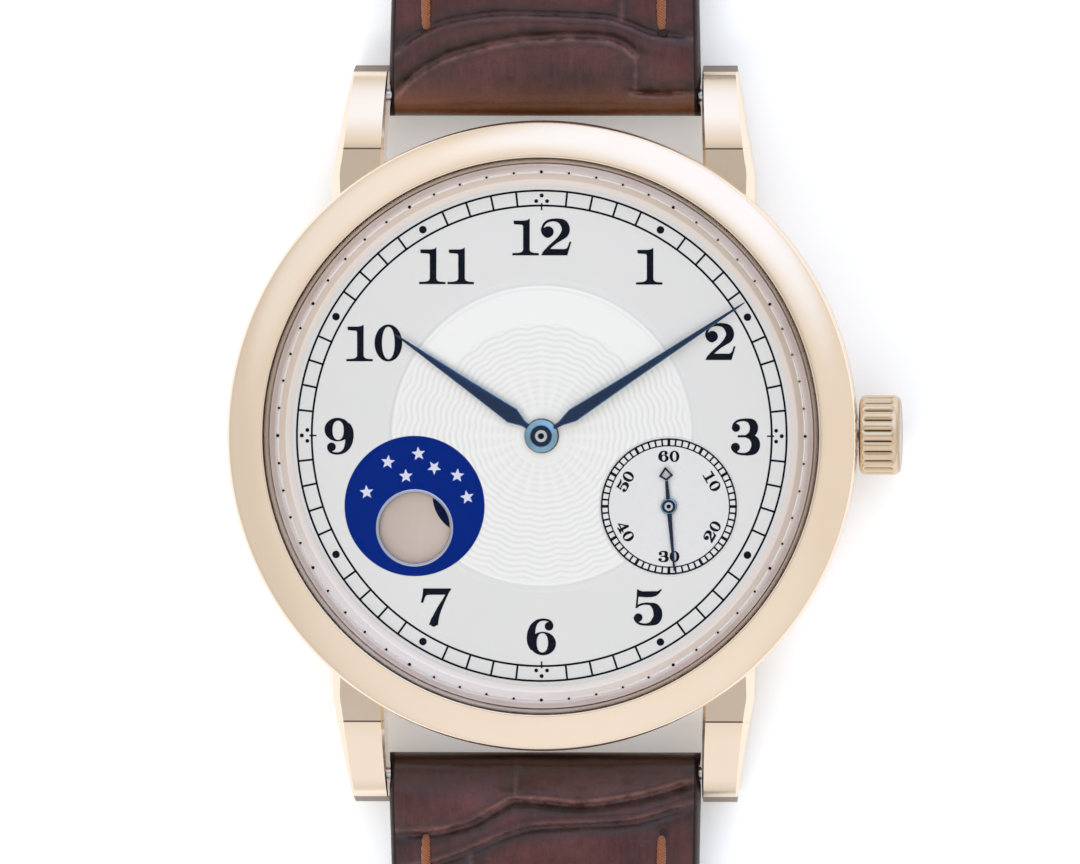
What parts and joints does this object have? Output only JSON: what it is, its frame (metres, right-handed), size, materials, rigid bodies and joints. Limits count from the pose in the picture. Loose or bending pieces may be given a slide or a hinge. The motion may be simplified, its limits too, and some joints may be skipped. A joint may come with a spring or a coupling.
{
  "type": "moon phase watch",
  "caption": "Round gold-cased hand-wound wristwatch with small seconds, blue moon phase display, engine-turned dial and a two-piece scale leather strap with pin buckle.",
  "frame": {"origin": "centre of the outer face of the case back crystal", "axes": "+Z out of the dial, +Y towards 12 o'clock along the strap, +X towards 3 o'clock and the crown"},
  "size_m": [0.0384, 0.2363, 0.0078],
  "materials": {
    "gold": "polished rose-beige gold",
    "gilt": "gilt brass",
    "nickel": "striped nickel finish",
    "steel": "fine ground steel",
    "blued_steel": "heat-blued polished steel",
    "dial_silver": "engine-turned silver white",
    "enamel_blue": "glossy enamel",
    "moon_metal": "hammered beige gold",
    "sapphire": "clear, polished",
    "ruby": "polished synthetic ruby",
    "rubber": "matt",
    "leather": "semi-matt scale leather"
  },
  "bodies": {
    "case": {"case_band": "gold", "lugs": "gold", "bezel": "gold", "front_crystal": "sapphire", "crystal_gasket": "rubber", "flange_ring": "gold", "dial": "dial_silver", "moon_sky_plate": "enamel_blue", "moon_window_ring": "gold", "crown_tube": "steel", "caseback_ring": "gold", "caseback_crystal": "sapphire", "caseback_gasket": "rubber", "caseback_screws": "steel", "casing_clamps": "steel", "main_plate": "nickel", "three_quarter_plate": "nickel", "pallet_bridge": "nickel", "balance_cock": "nickel", "regulator_index": "steel", "plate_screws": "blued_steel", "jewels": "ruby", "hairspring": "blued_steel", "click_spring": "steel", "moon_jumper": "steel", "spring_bars": "steel"},
    "minute_works": {"minute_hand": "blued_steel", "cannon_pinion": "steel", "centre_wheel": "gilt"},
    "hour_works": {"hour_hand": "blued_steel", "hour_wheel": "gilt"},
    "minute_wheel_body": {"minute_wheel": "gilt"},
    "day_wheel_body": {"moon_day_wheel": "gilt"},
    "moon_body": {"moon_disc": "moon_metal"},
    "third_body": {"third_wheel": "gilt"},
    "seconds_works": {"fourth_wheel": "gilt", "seconds_hand": "blued_steel"},
    "escape_body": {"escape_wheel": "steel"},
    "barrel_body": {"barrel": "gilt"},
    "ratchet_body": {"barrel_arbor": "steel", "ratchet_wheel": "steel", "mainspring": "steel"},
    "crown_wheel_body": {"crown_wheel": "steel"},
    "click_body": {"click": "steel"},
    "pallet_body": {"pallet_fork": "steel"},
    "balance_body": {"balance_wheel": "gilt", "balance_staff": "steel"},
    "crown_slide": {"crown_gasket": "rubber"},
    "crown_and_stem": {"crown": "gold", "winding_stem": "steel"},
    "sliding_pinion_body": {"sliding_pinion": "steel"},
    "winding_pinion_body": {"winding_pinion": "steel"},
    "corrector_body": {"moon_corrector": "gold"},
    "upper_strap": {"strap_upper": "leather", "buckle_bar": "steel", "fixed_keeper": "leather"},
    "lower_strap": {"strap_lower": "leather"},
    "buckle_body": {"buckle_frame": "gold"},
    "tang_body": {"buckle_tang": "gold"},
    "keeper_body": {"free_keeper": "leather"}
  },
  "joints": [
    {"name": "minute_hand_turn", "type": "hinge", "parent": "case", "child": "minute_works", "pos_m": [0, 0, 0.0037], "axis": [0, 0, -1], "continuous": true},
    {"name": "hour_hand_turn", "type": "hinge", "parent": "case", "child": "hour_works", "pos_m": [0, 0, 0.0051], "axis": [0, 0, -1], "continuous": true},
    {"name": "minute_wheel_turn", "type": "hinge", "parent": "case", "child": "minute_wheel_body", "pos_m": [0.00126, -0.00218, 0.0047], "axis": [0, 0, -1], "continuous": true},
    {"name": "day_wheel_turn", "type": "hinge", "parent": "case", "child": "day_wheel_body", "pos_m": [-0.00256, 0.00548, 0.0051], "axis": [0, 0, -1], "continuous": true},
    {"name": "moon_disc_turn", "type": "hinge", "parent": "case", "child": "moon_body", "pos_m": [-0.00682, -0.0021, 0.0053], "axis": [0, 0, -1], "continuous": true},
    {"name": "third_wheel_turn", "type": "hinge", "parent": "case", "child": "third_body", "pos_m": [0.00302, -0.00392, 0.0034], "axis": [0, 0, -1], "continuous": true},
    {"name": "seconds_hand_turn", "type": "hinge", "parent": "case", "child": "seconds_works", "pos_m": [0.00727, -0.00402, 0.0028], "axis": [0, 0, -1], "continuous": true},
    {"name": "escape_wheel_turn", "type": "hinge", "parent": "case", "child": "escape_body", "pos_m": [0.0057, -0.00742, 0.0031], "axis": [0, 0, -1], "continuous": true},
    {"name": "barrel_turn", "type": "hinge", "parent": "case", "child": "barrel_body", "pos_m": [0.00163, 0.00609, 0.0037], "axis": [0, 0, -1], "continuous": true},
    {"name": "pallet_rock", "type": "hinge", "parent": "case", "child": "pallet_body", "pos_m": [0.0035, -0.00842, 0.0031], "axis": [0, 0, -1], "range_deg": [-5, 5]},
    {"name": "balance_swing", "type": "hinge", "parent": "case", "child": "balance_body", "pos_m": [0.0006, -0.00975, 0.0022], "axis": [0, 0, -1], "range_deg": [-270, 270]},
    {"name": "crown_pull", "type": "slide", "parent": "case", "child": "crown_slide", "axis": [1, 0, 0], "range_m": [0, 0.0009]},
    {"name": "crown_turn", "type": "hinge", "parent": "crown_slide", "child": "crown_and_stem", "pos_m": [0.019, 0, 0.003], "axis": [1, 0, 0], "continuous": true},
    {"name": "winding_pinion_turn", "type": "hinge", "parent": "case", "child": "winding_pinion_body", "pos_m": [0.0112, 0, 0.003], "axis": [1, 0, 0], "continuous": true},
    {"name": "sliding_pinion_shift", "type": "slide", "parent": "crown_and_stem", "child": "sliding_pinion_body", "axis": [1, 0, 0], "range_m": [-0.00116, 0]},
    {"name": "crown_wheel_turn", "type": "hinge", "parent": "case", "child": "crown_wheel_body", "pos_m": [0.0076, 0, 0.0013], "axis": [0, 0, 1], "continuous": true},
    {"name": "ratchet_wheel_turn", "type": "hinge", "parent": "case", "child": "ratchet_body", "pos_m": [0.00163, 0.00609, 0.0013], "axis": [0, 0, 1], "continuous": true},
    {"name": "click_lift", "type": "hinge", "parent": "case", "child": "click_body", "pos_m": [-0.0052, 0.00705, 0.0013], "axis": [0, 0, 1], "range_deg": [0, 7], "stiffness_Nm_per_rad": 0.000002, "springref_deg": -2.86},
    {"name": "corrector_push", "type": "slide", "parent": "case", "child": "corrector_body", "axis": [0.9613, 0.2756, 0], "range_m": [0, 0.0003], "stiffness_N_per_m": 300, "springref_m": -0.0002},
    {"name": "upper_strap_swing", "type": "hinge", "parent": "case", "child": "upper_strap", "pos_m": [0, 0.0194, 0.0021], "axis": [1, 0, 0], "range_deg": [-85, 45]},
    {"name": "lower_strap_swing", "type": "hinge", "parent": "case", "child": "lower_strap", "pos_m": [0, -0.0194, 0.0021], "axis": [-1, 0, 0], "range_deg": [-85, 45]},
    {"name": "buckle_swing", "type": "hinge", "parent": "upper_strap", "child": "buckle_body", "pos_m": [0, 0.0935, 0.0021], "axis": [1, 0, 0], "range_deg": [-70, 45]},
    {"name": "tang_swing", "type": "hinge", "parent": "buckle_body", "child": "tang_body", "pos_m": [0, 0.0935, 0.0021], "axis": [1, 0, 0], "range_deg": [0, 55]},
    {"name": "free_keeper_slide", "type": "slide", "parent": "upper_strap", "child": "keeper_body", "axis": [0, 1, 0], "range_m": [-0.02, 0.009]}
  ],
  "couplings": [
    {"joint": "hour_hand_turn", "follows": "minute_hand_turn", "ratio": 0.083333},
    {"joint": "minute_wheel_turn", "follows": "minute_hand_turn", "ratio": -0.33333},
    {"joint": "day_wheel_turn", "follows": "minute_hand_turn", "ratio": -0.041667},
    {"joint": "moon_disc_turn", "follows": "minute_hand_turn", "ratio": 0.00070621},
    {"joint": "third_wheel_turn", "follows": "minute_hand_turn", "ratio": -8},
    {"joint": "seconds_hand_turn", "follows": "minute_hand_turn", "ratio": 60},
    {"joint": "escape_wheel_turn", "follows": "minute_hand_turn", "ratio": -600},
    {"joint": "barrel_turn", "follows": "minute_hand_turn", "ratio": -0.125},
    {"joint": "winding_pinion_turn", "follows": "crown_turn", "ratio": 1},
    {"joint": "crown_wheel_turn", "follows": "crown_turn", "ratio": 0.41176},
    {"joint": "ratchet_wheel_turn", "follows": "crown_turn", "ratio": -0.27451},
    {"joint": "sliding_pinion_shift", "follows": "crown_pull", "ratio": -1.2778}
  ]
}
